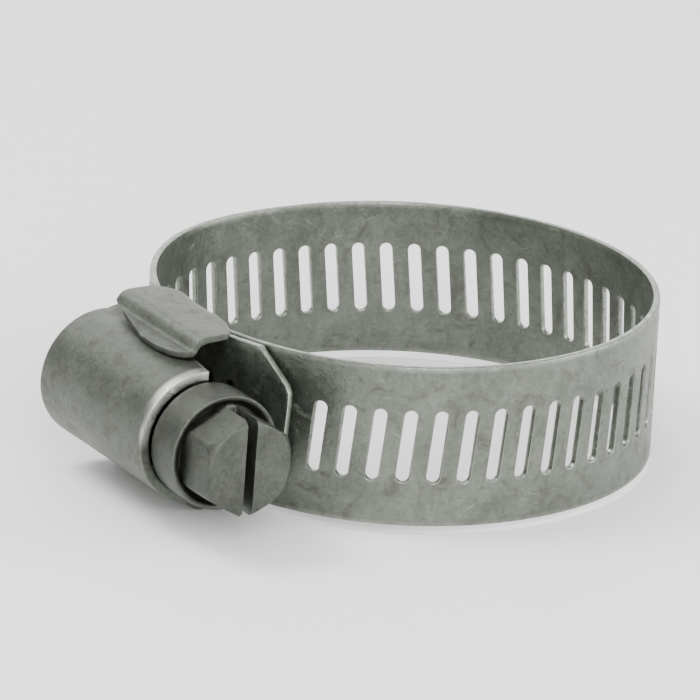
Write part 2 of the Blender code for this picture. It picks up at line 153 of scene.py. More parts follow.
# ---------------------------------------------------------------------------------------------
# Materials
# ---------------------------------------------------------------------------------------------
def steel(name, base, rough, seed, coords, mottling=0.10, grain=0.0, grain_axis=None, speckle=0.0,
          stain=(0.075, 0.072, 0.056), stains=0.25, scratches=0.3, bump=0.02, edge_gain=1.5, polish_and_highlight=None):
    """Dull stainless steel: cloudy oxide, stains, fine rolling lines, scratches, brighter rubbed edges and, where
    given, a polished band with a painted highlight.

    coords: 'object' or the name of a UV map whose unit is one millimetre along and across the strip.
    """
    m = bpy.data.materials.new(name)
    m.use_nodes = True
    nt = m.node_tree
    nodes, links = nt.nodes, nt.links
    bsdf = nodes["Principled BSDF"]
    bsdf.inputs["Metallic"].default_value = 1.0

    def new(kind, **values):
        n = nodes.new(kind)
        for k, v in values.items():
            setattr(n, k, v)
        return n

    def put(node, **values):
        for k, v in values.items():
            node.inputs[k.replace("_", " ")].default_value = v
        return node

    def link(a, b):
        links.new(a, b)

    def maths(op, a, b=None, clamp=False):
        n = new("ShaderNodeMath", operation=op, use_clamp=clamp)
        for i, v in enumerate((a, b)):
            if v is None:
                continue
            if isinstance(v, (int, float)):
                n.inputs[i].default_value = v
            else:
                link(v, n.inputs[i])
        return n.outputs[0]

    def mix(kind, fac, a, b):
        n = new("ShaderNodeMix", data_type="RGBA", blend_type=kind)
        for i, v in ((0, fac), (6, a), (7, b)):
            if isinstance(v, (int, float)):
                n.inputs[i].default_value = v
            elif isinstance(v, tuple):
                n.inputs[i].default_value = (*v, 1)
            else:
                link(v, n.inputs[i])
        return n.outputs[2]

    def ramp(value, points):
        n = new("ShaderNodeValToRGB")
        while len(n.color_ramp.elements) < len(points):
            n.color_ramp.elements.new(0.5)
        for e, (pos, g) in zip(n.color_ramp.elements, points):
            e.position = pos
            e.color = (g, g, g, 1)
        link(value, n.inputs[0])
        return n.outputs[0]

    def noise_at(scale, detail=4.0, rough_=0.55, distortion=0.0, stretch=(1, 1, 1), offset=0.0, flat=None):
        mapping = new("ShaderNodeMapping")
        mapping.inputs["Location"].default_value = (seed * 3.17 + offset, seed * 1.93, seed * 0.71)
        mapping.inputs["Scale"].default_value = stretch
        link(flat or place, mapping.inputs[0])
        n = new("ShaderNodeTexNoise")
        put(n, Scale=scale, Detail=detail, Roughness=rough_, Distortion=distortion)
        link(mapping.outputs[0], n.inputs["Vector"])
        return n.outputs["Fac"]

    tex = new("ShaderNodeTexCoord")
    scale = new("ShaderNodeMapping")
    scale.inputs["Scale"].default_value = (1000, 1000, 1000)  # millimetres
    link(tex.outputs["Object"], scale.inputs[0])
    place = scale.outputs[0]
    if coords == "object":
        flat = place
    else:
        uv = new("ShaderNodeUVMap", uv_map=coords)
        flat = uv.outputs[0]

    # cloudy tone, at two scales
    cloud = noise_at(0.16, 3, 0.6, 0.4)
    cloud2 = noise_at(0.75, 5, 0.62, 0.8, offset=7)
    fine = noise_at(7.0, 3, 0.6, offset=3)
    tone = maths("ADD", maths("MULTIPLY", maths("SUBTRACT", cloud, 0.5), 1.5 * mottling * 2),
                 maths("MULTIPLY", maths("SUBTRACT", cloud2, 0.5), 1.2 * mottling * 2))
    tone = maths("ADD", tone, maths("MULTIPLY", maths("SUBTRACT", fine, 0.5), 0.16 + speckle))
    grit = noise_at(2.3, 4, 0.66, 0.5, offset=13)
    tone = maths("ADD", tone, maths("MULTIPLY", maths("SUBTRACT", grit, 0.5), 0.55 + speckle))
    if grain:
        lines = noise_at(1.0, 6, 0.7, stretch=grain_axis, flat=flat, offset=11)
        tone = maths("ADD", tone, maths("MULTIPLY", maths("SUBTRACT", lines, 0.5), grain))
    tone = maths("ADD", tone, 1.0)
    colour = mix("MULTIPLY", 1.0, base, tone)

    # brownish and greenish stains in patches
    patch = ramp(noise_at(0.42, 6, 0.68, 1.4, offset=21), [(0.52, 0.0), (0.66, 1.0)])
    speck = ramp(noise_at(2.6, 5, 0.7, 0.6, offset=31), [(0.60, 0.0), (0.70, 1.0)])
    dirt = maths("MULTIPLY", maths("ADD", maths("MULTIPLY", patch, 0.65), maths("MULTIPLY", speck, 0.5)), stains, clamp=True)
    colour = mix("MIX", dirt, colour, stain)

    # fine scratches, in two directions
    scr = None
    if scratches:
        for k, (sx, sy, turn) in enumerate(((0.10, 5.0, 0.35), (0.14, 7.0, -0.6), (0.08, 4.0, 1.35))):
            mapping = new("ShaderNodeMapping")
            mapping.inputs["Rotation"].default_value = (0, 0, turn)
            link(flat, mapping.inputs[0])
            m2 = new("ShaderNodeMapping")
            m2.inputs["Scale"].default_value = (sx, sy, sy if coords == "object" else 1)
            m2.inputs["Location"].default_value = (k * 5.3 + seed, k * 2.1, seed)
            link(mapping.outputs[0], m2.inputs[0])
            n = new("ShaderNodeTexNoise")
            put(n, Scale=1.0, Detail=2.0, Roughness=0.5, Distortion=0.15)
            link(m2.outputs[0], n.inputs["Vector"])
            line = ramp(maths("ABSOLUTE", maths("SUBTRACT", n.outputs["Fac"], 0.5 + 0.04 * k)), [(0.0, 1.0), (0.012, 0.0)])
            breaks = ramp(noise_at(0.5, 2, 0.5, offset=41 + k), [(0.55, 0.0), (0.62, 1.0)])
            line = maths("MULTIPLY", line, breaks)
            scr = line if scr is None else maths("MAXIMUM", scr, line)
        colour = mix("MIX", maths("MULTIPLY", scr, 0.5 * scratches), colour, tuple(min(1.0, c * 2.1) for c in base))

    roughness = maths("ADD", rough, maths("MULTIPLY", maths("SUBTRACT", cloud2, 0.5), 0.22))
    roughness = maths("ADD", roughness, maths("MULTIPLY", maths("SUBTRACT", fine, 0.5), 0.14))
    roughness = maths("ADD", roughness, maths("MULTIPLY", dirt, 0.25), clamp=True)

    attribute = new("ShaderNodeAttribute", attribute_type="GEOMETRY", attribute_name="Worn")
    worn = ramp(attribute.outputs["Fac"], [(0.35, 0.0), (0.95, 1.0)])
    worn = maths("MULTIPLY", worn, ramp(noise_at(1.3, 4, 0.6, offset=61), [(0.30, 0.25), (0.60, 1.0)]))
    colour = mix("MIX", maths("MULTIPLY", worn, 0.75), colour, tuple(min(1.0, c * edge_gain) for c in base))
    roughness = maths("SUBTRACT", roughness, maths("MULTIPLY", worn, 0.12))
    # partly polish (lower roughness) and partly painted highlight: the brighter colour on the marked band stands in
    # for the light it catches
    if polish_and_highlight:
        attribute = new("ShaderNodeAttribute", attribute_type="GEOMETRY", attribute_name="PolishedAndHighlight")
        bright = maths("MULTIPLY", attribute.outputs["Fac"], ramp(noise_at(0.5, 1, 0.5, offset=71), [(0.30, 0.55), (0.55, 1.0)]))
        colour = mix("MIX", bright, colour, polish_and_highlight)
        roughness = maths("SUBTRACT", roughness, maths("MULTIPLY", bright, 0.17))

    link(colour, bsdf.inputs["Base Color"])
    link(maths("MAXIMUM", roughness, 0.12), bsdf.inputs["Roughness"])

    height = maths("ADD", maths("MULTIPLY", fine, 0.6), maths("MULTIPLY", cloud2, 1.2))
    micro = noise_at(24.0, 2, 0.6, offset=5)
    height = maths("ADD", height, maths("MULTIPLY", micro, 0.25 + speckle))
    height = maths("ADD", height, maths("MULTIPLY", grit, 1.3))
    if grain:
        height = maths("ADD", height, maths("MULTIPLY", lines, 0.5))
    if scr is not None:
        height = maths("SUBTRACT", height, maths("MULTIPLY", scr, 0.5 * scratches))
    b = new("ShaderNodeBump")
    b.inputs["Strength"].default_value = 0.5
    b.inputs["Distance"].default_value = bump * MM
    link(height, b.inputs["Height"])
    link(b.outputs[0], bsdf.inputs["Normal"])
    return m


BAND_BASE = (0.150, 0.163, 0.140)
band_steel = steel("BandSteel", BAND_BASE, 0.40, 1.0, "Strip", mottling=0.30, grain=0.22, grain_axis=(0.05, 9.0, 1),
                   stains=0.75, scratches=0.9, bump=0.050, edge_gain=1.8)
# the tail is the band's own steel made 1.55 times brighter: painted light that lifts the tongue out of the shade of
# the housing and screw
tail_steel_lit = steel("TailSteelLit", tuple(c * 1.55 for c in BAND_BASE), 0.42, 5.0, "Strip", mottling=0.30, grain=0.22,
                   grain_axis=(0.05, 9.0, 1), stains=0.6, scratches=0.8, bump=0.050, edge_gain=1.9)
# the housing's front lip gets a brighter colour as a painted highlight, together with lower roughness for its polish
housing_steel = steel("HousingSteel", (0.112, 0.121, 0.103), 0.44, 2.0, "object", mottling=0.30, grain=0.10,
                      grain_axis=(0.08, 3.0, 3.0), speckle=0.35, stains=0.60, scratches=0.6, bump=0.060, edge_gain=2.4,
                      polish_and_highlight=(0.64, 0.65, 0.61))
saddle_steel = steel("SaddleSteel", (0.116, 0.125, 0.107), 0.42, 3.0, "object", mottling=0.30, grain=0.10,
                     grain_axis=(0.08, 3.0, 3.0), speckle=0.35, stains=0.60, scratches=0.6, bump=0.060, edge_gain=2.4)
screw_steel = steel("ScrewSteel", (0.074, 0.080, 0.069), 0.45, 4.0, "object", mottling=0.32, grain=0.08,
                    grain_axis=(1.0, 1.0, 1.0), speckle=0.35, stains=0.65, scratches=0.4, bump=0.060, edge_gain=2.8)


# ---------------------------------------------------------------------------------------------
# Mesh helpers
# ---------------------------------------------------------------------------------------------
def link_mesh(name, mesh, mat, smooth_angle=35):
    obj = bpy.data.objects.new(name, mesh)
    bpy.context.scene.collection.objects.link(obj)
    mesh.materials.clear()
    mesh.materials.append(mat)
    mesh.shade_smooth()
    mesh.set_sharp_from_angle(angle=math.radians(smooth_angle))
    return obj


class Flat:
    """A flat quad mesh in a strip's own (along, across) coordinates."""

    def __init__(self):
        self.points, self.faces, self.index = [], [], {}

    def add(self, s, z):
        key = (round(s, 4), round(z, 4))
        if key not in self.index:
            self.index[key] = len(self.points)
            self.points.append((s, z))
        return self.index[key]

    def quad(self, *corners):
        ids = []
        for c in corners:
            i = self.add(*c)
            if i not in ids:
                ids.append(i)
        if len(ids) > 2:
            self.faces.append(ids)


def stadium(length, width, arc_steps, side_steps):
    """Outline of a slot with round ends, counter-clockwise from the middle of the right side."""
    half = (length - width) / 2
    r = width / 2
    right = [(r, z) for z in np.linspace(0, half, side_steps + 1)]
    top = [(r * math.cos(a), half + r * math.sin(a)) for a in np.linspace(0, math.pi, arc_steps + 1)][1:]
    left = [(-r, z) for z in np.linspace(half, -half, 2 * side_steps + 1)][1:]
    bottom = [(r * math.cos(a), -half + r * math.sin(a)) for a in np.linspace(math.pi, 2 * math.pi, arc_steps + 1)][1:]
    last = [(r, z) for z in np.linspace(-half, 0, side_steps + 1)][1:-1]
    return right + top + left + bottom + last


SIDE_STEPS, ARC_STEPS = 7, 12
CELL_HALF = SLOT_PITCH / 2
CELL_Z = 4.4  # half height of the cell that holds a slot


def slot_cell(flat, s0):
    """One pitch of the strip with a slanted slot in it, and its plain margins above and below."""
    tilt = math.tan(SLOT_SLANT)
    ring = stadium(SLOT_L, SLOT_W, ARC_STEPS, SIDE_STEPS)
    # outer outline: a rectangle with the same number of points
    half = (SLOT_L - SLOT_W) / 2
    outer = []
    n_side = SIDE_STEPS
    zs = np.linspace(0, 1, n_side + 1)
    right = [(CELL_HALF, z * half) for z in zs]
    quarter = ARC_STEPS // 4
    corner_zs = np.linspace(half, CELL_Z, quarter + 1)[1:]
    top = [(CELL_HALF, z) for z in corner_zs]
    across = np.linspace(CELL_HALF, -CELL_HALF, ARC_STEPS - 2 * quarter + 1)[1:]
    top += [(x, CELL_Z) for x in across]
    top += [(-CELL_HALF, z) for z in corner_zs[::-1][1:]] + [(-CELL_HALF, half)]
    left = [(-CELL_HALF, z) for z in np.linspace(half, -half, 2 * n_side + 1)][1:]
    bottom = [(-x, -z) for x, z in top]
    last = [(CELL_HALF, z) for z in np.linspace(-half, 0, n_side + 1)][1:-1]
    outer = right + top + left + bottom + last
    assert len(outer) == len(ring), (len(outer), len(ring))
    lean = [(x * math.cos(SLOT_SLANT) + z * math.sin(SLOT_SLANT), -x * math.sin(SLOT_SLANT) + z * math.cos(SLOT_SLANT)) for x, z in ring]
    layers = [lean]
    for f in (0.12, 0.30, 0.62, 1.0):
        layers.append([((1 - f) * a[0] + f * b[0], (1 - f) * a[1] + f * b[1]) for a, b in zip(lean, outer)])
    n = len(ring)
    for inner, out in zip(layers, layers[1:]):
        for i in range(n):
            j = (i + 1) % n
            flat.quad(*[(s0 + x, z) for x, z in (inner[i], out[i], out[j], inner[j])])
    margin(flat, [s0 + x for x in [CELL_HALF] + list(across)][::-1])


def margin(flat, xs):
    """Plain rows of quads between the cell's top and the strip's edge, above and below."""
    rows = np.linspace(CELL_Z, BAND_W / 2, 5)
    for za, zb in zip(rows, rows[1:]):
        for xa, xb in zip(xs, xs[1:]):
            flat.quad((xa, za), (xb, za), (xb, zb), (xa, zb))
            flat.quad((xa, -za), (xa, -zb), (xb, -zb), (xb, -za))


def column_zs():
    half = (SLOT_L - SLOT_W) / 2
    side = np.linspace(0, half, SIDE_STEPS + 1)
    corner = np.linspace(half, CELL_Z, ARC_STEPS // 4 + 1)[1:]
    edge = np.linspace(CELL_Z, BAND_W / 2, 5)[1:]
    up = list(side) + list(corner) + list(edge)
    return [-z for z in up[::-1][:-1]] + up


def plain(flat, xs):
    zs = column_zs()
    for xa, xb in zip(xs, xs[1:]):
        for za, zb in zip(zs, zs[1:]):
            flat.quad((xa, za), (xb, za), (xb, zb), (xa, zb))


def strip_mesh(name, flat, frame_of, thickness=BAND_T, edge_r=0.10, joins=()):
    """Wraps a flat strip on its path and gives it thickness, with softly rounded edges.

    joins are the lengths at which the strip runs on into its neighbour, where the edge stays square.
    """
    pts = np.array(flat.points)
    s, z = pts[:, 0].copy(), pts[:, 1].copy()
    n = len(pts)
    p, normal, along = frame_of(s)
    # boundary edges of the flat mesh and the inward direction there
    count = {}
    for f in flat.faces:
        for a, b in zip(f, f[1:] + f[:1]):
            count.setdefault((min(a, b), max(a, b)), []).append((a, b))
    border = [v[0] for v in count.values() if len(v) == 1]
    dimmed_near_housing = np.array([smooth((abs(q[0]) - 6.5) / 3) if q[1] < 0 else 1.0 for q in p])  # on the front side near the housing (|x| under about 9.5 mm) the edges get less of the brighter edge colour
    push = np.zeros((n, 2))
    worn = np.zeros(n)
    for a, b in border:
        d = pts[b] - pts[a]
        d /= max(np.linalg.norm(d), 1e-9)
        if any(abs(pts[a][0] - j) < 1e-3 and abs(pts[b][0] - j) < 1e-3 for j in joins):
            continue
        inward = np.array([-d[1], d[0]])  # faces are counter-clockwise
        for v in (a, b):
            if any(abs(pts[v][0] - j) < 1e-3 for j in joins):
                inward = np.array([0.0, np.sign(inward[1])])
            push[v] += inward
            worn[v] = 1.0
    worn *= 0.3 + 0.7 * dimmed_near_housing
    lengths = np.linalg.norm(push, axis=1)
    on = lengths > 1e-6
    push[on] /= lengths[on][:, None]

    def place(depth, inset):
        ss = s + push[:, 0] * inset
        zz = z + push[:, 1] * inset
        pp, nn, _ = frame_of(ss)
        pp = pp + nn * depth
        return np.concatenate([pp, zz[:, None]], 1)

    h = thickness / 2
    k = edge_r * (1 - math.sqrt(0.5))
    layers = [place(h, edge_r), place(h - k, k), place(h - edge_r, 0.0), place(-h + edge_r, 0.0), place(-h + k, k), place(-h, edge_r)]
    top, bottom = layers[0], layers[-1]
    verts = [*top, *bottom]
    ids = {0: np.arange(n), 5: np.arange(n) + n}
    rim = sorted({v for e in border for v in e})
    for li in range(1, 5):
        m = {v: len(verts) + i for i, v in enumerate(rim)}
        verts += [layers[li][v] for v in rim]
        ids[li] = m
    faces = [[int(i) for i in f] for f in flat.faces]
    faces += [[int(i) + n for i in f[::-1]] for f in flat.faces]
    for a, b in border:
        for li in range(5):
            faces.append([int(ids[li][b]), int(ids[li][a]), int(ids[li + 1][a]), int(ids[li + 1][b])])
    mesh = bpy.data.meshes.new(name)
    mesh.from_pydata([Vector(v) * MM for v in verts], [], faces)
    mesh.update()
    # coordinates of the strip in millimetres, for the rolling lines and scratches
    uv = mesh.uv_layers.new(name="Strip")
    flat_at = np.concatenate([pts, pts] + [pts[rim]] * 4)
    wear = mesh.attributes.new("Worn", "FLOAT", "POINT")
    wear.data.foreach_set("value", np.concatenate([worn, worn] + [worn[rim]] * 4).astype(np.float32))
    loops = np.zeros(len(mesh.loops), np.int32)
    mesh.loops.foreach_get("vertex_index", loops)
    uv.data.foreach_set("uv", flat_at[loops].astype(np.float32).ravel())
    bm = bmesh.new()
    bm.from_mesh(mesh)
    bmesh.ops.recalc_face_normals(bm, faces=bm.faces)
    bm.to_mesh(mesh)
    bm.free()
    return mesh


# ---------------------------------------------------------------------------------------------
# The band: one smooth strip in eleven pieces, each spanning one hinge, and the tail
# ---------------------------------------------------------------------------------------------
seam_beta = 2 * math.pi + math.asin(SEAM_X / arc_radius(math.asin(SEAM_X / TAIL_R), TAIL_R))
SEAM = length_at(seam_beta)
START = length_at(math.radians(-15.5))
slot_centres = []
k = 0
while FIRST_LENGTH + k * SLOT_PITCH < SEAM - 0.8:
    slot_centres.append(FIRST_LENGTH + k * SLOT_PITCH)
    k += 1
slots_before_tail = k
# joints between the visual pieces: the plain land in the middle of each CAD segment
cuts = [START]
for i in range(SEGMENTS):
    cuts.append(HINGE_LENGTHS[i] + 2 * SLOT_PITCH)
cuts.append(SEAM - HINGE_GAP / 2)
bodies = ["housing"] + [f"band_segment_{i + 1:02d}" for i in range(SEGMENTS)] + ["band_entry"]
nodes = ["band_fixed_end"] + bodies[1:]
for i in range(SEGMENTS + 1):
    flat = Flat()
    a, b = cuts[i], cuts[i + 1]
    inside = [s for s in slot_centres if s - CELL_HALF > a - 1e-6 and s + CELL_HALF < b + 1e-6]
    for s in inside:
        slot_cell(flat, s)
    if i == 0:
        plain(flat, np.linspace(a, inside[0] - CELL_HALF, 24))
    if i == SEGMENTS and inside[-1] + CELL_HALF < b - 1e-4:
        plain(flat, np.linspace(inside[-1] + CELL_HALF, b, 3))
    joins = ([a] if i else []) + ([b] if i < SEGMENTS else [])
    mesh = strip_mesh(f"band_strip_{i + 1:02d}", flat, path_frame, joins=joins)
    obj = link_mesh(f"band_strip_{i + 1:02d}", mesh, band_steel, 40)
    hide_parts(*([nodes[0], nodes[1]] if i == 0 else [nodes[i + 1]]))
    here = HINGE_LENGTHS[i]
    reach = min(here - a, b - here) * 0.98 if i else 4.0
    pa, _, _ = path_frame(np.array([here - reach]))
    pb, _, _ = path_frame(np.array([here + reach]))
    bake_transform(obj)

# The tail: slots end under the housing, then a plain tongue with cut corners
tail_seam_angle = math.asin(SEAM_X / TAIL_R)
tail_s0 = TAIL_R * tail_seam_angle + HINGE_GAP / 2
tail_s1 = TAIL_R * math.asin(TAIL_TIP_X / TAIL_R)
flat = Flat()
tail_slots = []
k = slots_before_tail
while True:
    s = TAIL_R * tail_seam_angle + FIRST_LENGTH + k * SLOT_PITCH - SEAM
    if TAIL_R * math.sin(s / TAIL_R) > TAIL_SLOT_END_X:
        break
    if s - CELL_HALF > tail_s0:
        tail_slots.append(s)
    k += 1
for s in tail_slots:
    slot_cell(flat, s)
if tail_slots[0] - CELL_HALF > tail_s0 + 1e-3:
    plain(flat, np.linspace(tail_s0, tail_slots[0] - CELL_HALF, 3))
xs = list(np.linspace(tail_slots[-1] + CELL_HALF, tail_s1, 22))
plain(flat, xs)
# cut corners: points past the outline are drawn in
pts = np.array(flat.points)
def tongue_end(z):
    """How far along the tongue reaches at this height: an end cut parallel to the slots, between two cut corners."""
    def least(a, b, soft):
        return (a + b - math.sqrt((a - b) ** 2 + soft**2)) / 2
    end = 12.72 + math.tan(SLOT_SLANT) * z
    upper = 9.6 + (BAND_W / 2 - z) * 1.18
    lower = 9.2 + (BAND_W / 2 + z) * 1.18
    return least(least(end, upper, 0.55), lower, 0.55)


base = xs[0]
for i, (s, z) in enumerate(pts):
    if s > base + 1e-6:
        f = (s - base) / (tail_s1 - base)
        pts[i, 0] = base + f * (tongue_end(z) - base)
flat.points = [tuple(p) for p in pts]
mesh = strip_mesh("band_tail_tongue", flat, tail_frame)
tail = link_mesh("band_tail_tongue", mesh, tail_steel_lit, 40)
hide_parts("band_tail")
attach(tail, "band_tail")

# ---------------------------------------------------------------------------------------------
# Housing, saddle and screw
# ---------------------------------------------------------------------------------------------
def evaluated(obj):
    bpy.context.view_layer.update()
    mesh = bpy.data.meshes.new_from_object(obj.evaluated_get(bpy.context.evaluated_depsgraph_get()))
    return mesh


def settle(obj, name=None):
    """Applies the object's modifiers and transform."""
    mesh = evaluated(obj)
    mesh.transform(obj.matrix_world)
    name = name or obj.name
    old = obj.data
    bpy.data.objects.remove(obj, do_unlink=True)
    made = bpy.data.objects.new(name, mesh)
    bpy.context.scene.collection.objects.link(made)
    made.name = mesh.name = name
    return made


def wear_from_shape(obj, radius=0.45, angle=35):
    """Marks how near each point is to an outer edge, for the rubbed metal there."""
    mesh = obj.data
    bm = bmesh.new()
    bm.from_mesh(mesh)
    bm.normal_update()
    value = np.zeros(len(bm.verts))
    for v in bm.verts:
        best = 0.0
        for e in v.link_edges:
            if len(e.link_faces) == 2 and e.is_convex:
                best = max(best, e.calc_face_angle(0.0) / math.radians(angle))
        value[v.index] = min(1.0, best)
    bm.free()
    wear = mesh.attributes.get("Worn") or mesh.attributes.new("Worn", "FLOAT", "POINT")
    wear.data.foreach_set("value", value.astype(np.float32))


def catmull(points, per=6):
    """A smooth line through the points, evenly sampled."""
    p = [np.array(q, float) for q in points]
    p = [2 * p[0] - p[1]] + p + [2 * p[-1] - p[-2]]
    out = []
    for i in range(1, len(p) - 2):
        for k in range(per):
            t = k / per
            out.append(0.5 * (2 * p[i] + (p[i + 1] - p[i - 1]) * t + (2 * p[i - 1] - 5 * p[i] + 4 * p[i + 1] - p[i + 2]) * t * t
                              + (3 * p[i] - p[i - 1] - 3 * p[i + 1] + p[i + 2]) * t**3))
    out.append(p[-2])
    return np.array(out)


def resample(line, step):
    d = np.concatenate([[0], np.cumsum(np.linalg.norm(np.diff(line, axis=0), axis=1))])
    n = max(2, round(d[-1] / step))
    at = np.linspace(0, d[-1], n + 1)
    return np.stack([np.interp(at, d, line[:, k]) for k in range(line.shape[1])], 1), at


def pressed_sheet(name, section, x0, x1, thickness, mat, rounding, x_step=0.62, flip=False, shape=None):
    """A sheet pressed to a section in the YZ plane. x0 and x1 give its ends for a share 0 to 1 along the section."""
    rows = []
    bm = bmesh.new()
    n = len(section)
    lengths = np.concatenate([[0], np.cumsum(np.linalg.norm(np.diff(section, axis=0), axis=1))])
    share = lengths / lengths[-1]
    span = max(x1(u) - x0(u) for u in share)
    cols = max(4, round(span / x_step))
    for i, (y, z) in enumerate(section):
        a, b = x0(share[i]), x1(share[i])
        row = []
        for k in range(cols + 1):
            x = a + (b - a) * k / cols
            co = np.array([x, y, z])
            if shape is not None:
                co = shape(co, share[i])
            row.append(bm.verts.new(Vector(co) * MM))
        rows.append(row)
    for ra, rb in zip(rows, rows[1:]):
        for k in range(cols):
            quad = (ra[k], rb[k], rb[k + 1], ra[k + 1])
            bm.faces.new(quad[::-1] if flip else quad)
    mesh = bpy.data.meshes.new(name)
    bm.to_mesh(mesh)
    bm.free()
    obj = bpy.data.objects.new(name, mesh)
    bpy.context.scene.collection.objects.link(obj)
    solid = obj.modifiers.new("Thickness", "SOLIDIFY")
    solid.thickness = thickness * MM
    solid.offset = 0
    solid.use_even_offset = True
    bevel = obj.modifiers.new("Rounding", "BEVEL")
    bevel.width = rounding * MM
    bevel.segments = 4
    bevel.limit_method = "ANGLE"
    bevel.angle_limit = math.radians(50)
    bevel.harden_normals = False
    made = settle(obj, name)
    wear_from_shape(made)
    made.data.materials.clear()
    made.data.materials.append(mat)
    made.data.shade_smooth()
    made.data.set_sharp_from_angle(angle=math.radians(42))
    return made


def join(name, objects):
    bpy.ops.object.select_all(action="DESELECT")
    for o in objects:
        o.select_set(True)
    bpy.context.view_layer.objects.active = objects[0]
    bpy.ops.object.join()
    made = bpy.context.view_layer.objects.active
    made.name = made.data.name = name
    return made


# Housing: the barrel over the screw and a foot along each side, in one pressed sheet
mid = BARREL_R - SHELL_T / 2 - 0.04
ARC_END = 97
foot = [(-24.95, 5.60), (-24.45, 5.86), (-23.9, 6.22), (-23.35, 6.55), (-23.0, 6.62)]
upper = [(AXIS_Y - mid * math.cos(t), mid * math.sin(t)) for t in np.radians(np.linspace(0, ARC_END, 26))]
half_line = np.concatenate([np.array(upper), catmull([upper[-1]] + foot, 5)[1:]])
half_line, half_at = resample(half_line, 0.42)
arc_length = mid * math.radians(ARC_END)
section = np.concatenate([half_line[::-1] * (1, -1), half_line[1:]])
total = 2 * half_at[-1]


def housing_front(u):
    s = abs(u - 0.5) * total  # distance from the barrel's far side
    t = min(max((s - (arc_length - 0.1)) / 1.7, 0.0), 1.0)
    foot_end = 5.0
    return foot_end + (HOUSING_X1 - foot_end) * (1 - math.sqrt(1 - (1 - t) ** 2)) if t > 0 else HOUSING_X1


def housing_rear(u):
    s = abs(u - 0.5) * total
    t = min(max((s - arc_length - 0.4) / 1.8, 0.0), 1.0)
    return HOUSING_X0 + 1.2 * smooth(t)


def housing_press(co, u):
    """Uneven pressing: the sheet is never quite straight."""
    n = noise.noise_vector(Vector(co) * 0.22)
    return co + np.array([0, n[1], n[2]]) * 0.05


housing = pressed_sheet("housing_shell", section, housing_rear, housing_front, SHELL_T, housing_steel, 0.32, shape=housing_press)
# painted highlight, partly polish: the upper half of the front lip, widest near the top where the light catches it,
# gets a brighter colour and lower roughness
polish_and_highlight_mask = housing.data.attributes.new("PolishedAndHighlight", "FLOAT", "POINT")
share = []
for v in housing.data.vertices:
    x, y, z = (c / MM for c in v.co)
    wide = 0.28 + 0.40 * smooth(z / 6)
    share.append(smooth((x - HOUSING_X1 + wide + 0.25) / 0.35) * smooth((z + 0.5) / 2.6) * (1.0 if z > 0 else 0.0))
polish_and_highlight_mask.data.foreach_set("value", share)
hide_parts("housing")
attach(housing, "housing")

# Saddle: the curved plate under the band and the ears pressed over the housing's feet
half_angle = math.asin(6.25 / SADDLE_R)
bm = bmesh.new()
rows = []
for t in np.linspace(-half_angle, half_angle, 22):
    rows.append([bm.verts.new(Vector((SADDLE_R * math.sin(t), CHANNEL_Y - SADDLE_R * math.cos(t), z)) * MM) for z in np.linspace(-6.2, 6.2, 24)])
for ra, rb in zip(rows, rows[1:]):
    for k in range(23):
        bm.faces.new((ra[k], rb[k], rb[k + 1], ra[k + 1]))
mesh = bpy.data.meshes.new("saddle_plate")
bm.to_mesh(mesh)
bm.free()
plate = bpy.data.objects.new("saddle_plate", mesh)
bpy.context.scene.collection.objects.link(plate)
solid = plate.modifiers.new("Thickness", "SOLIDIFY")
solid.thickness, solid.offset = SADDLE_T * MM, 0
bevel = plate.modifiers.new("Rounding", "BEVEL")
bevel.width, bevel.segments, bevel.limit_method, bevel.angle_limit = 0.2 * MM, 3, "ANGLE", math.radians(50)
plate = settle(plate, "saddle_plate")
wear_from_shape(plate)
plate.data.materials.append(saddle_steel)
plate.data.shade_smooth()
plate.data.set_sharp_from_angle(angle=math.radians(42))

ear_line = [(-22.15, 7.55), (-22.9, 7.57), (-23.7, 7.56), (-24.4, 7.52), (-24.85, 7.36), (-25.15, 7.02), (-25.4, 6.62), (-25.75, 6.42), (-26.25, 6.38), (-26.75, 6.28), (-27.15, 6.16)]
neck_line = [(-20.3, 5.9), (-20.3, 6.55), (-20.42, 7.10), (-20.82, 7.46), (-21.45, 7.55)]
ears = []
for sign in (1, -1):
    line, at = resample(catmull(neck_line + ear_line, 6) * (1, sign), 0.26)
    start = next(d for (y, z), d in zip(line, at) if y < ear_line[0][0])
    length = at[-1]

    def ear_share(u):
        return (u * length - start) / (length - start)

    def on_neck(u):
        """0 on the ear, 1 on the narrow neck that comes up from the plate."""
        return smooth((start - 0.05 - u * length) / 1.7)

    def ear_front(u):
        v = ear_share(u)
        reach = 7.15 + 0.1 * math.sin(v * 6)
        if v > 0.62:
            reach = 3.6 + 3.55 * math.sqrt(max(0.0, 1 - ((v - 0.62) / 0.38) ** 2.6))
        return reach + (1.8 - reach) * on_neck(u)

    def ear_rear(u):
        reach = -6.35 + 7.5 * max(0.0, (ear_share(u) - 0.62) / 0.38) ** 1.3
        return reach + (-3.6 - reach) * on_neck(u)

    def ear_press(co, u):
        n = noise.noise_vector(Vector(co) * 0.3 + Vector((5, 0, 0)))
        sag = SADDLE_R - math.sqrt(SADDLE_R**2 - min(abs(co[0]), 8) ** 2)  # the neck follows the plate's curve
        return co + np.array([0, n[1], n[2]]) * 0.04 + np.array([0, sag * smooth((co[1] + 22.0) / 1.2), 0])

    ears.append(pressed_sheet(f"ear_{sign}", line, ear_rear, ear_front, 0.55, saddle_steel, 0.20, x_step=0.5, flip=sign < 0, shape=ear_press))
saddle = join("saddle_with_ears", [plate] + ears)
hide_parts("saddle")
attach(saddle, "housing")


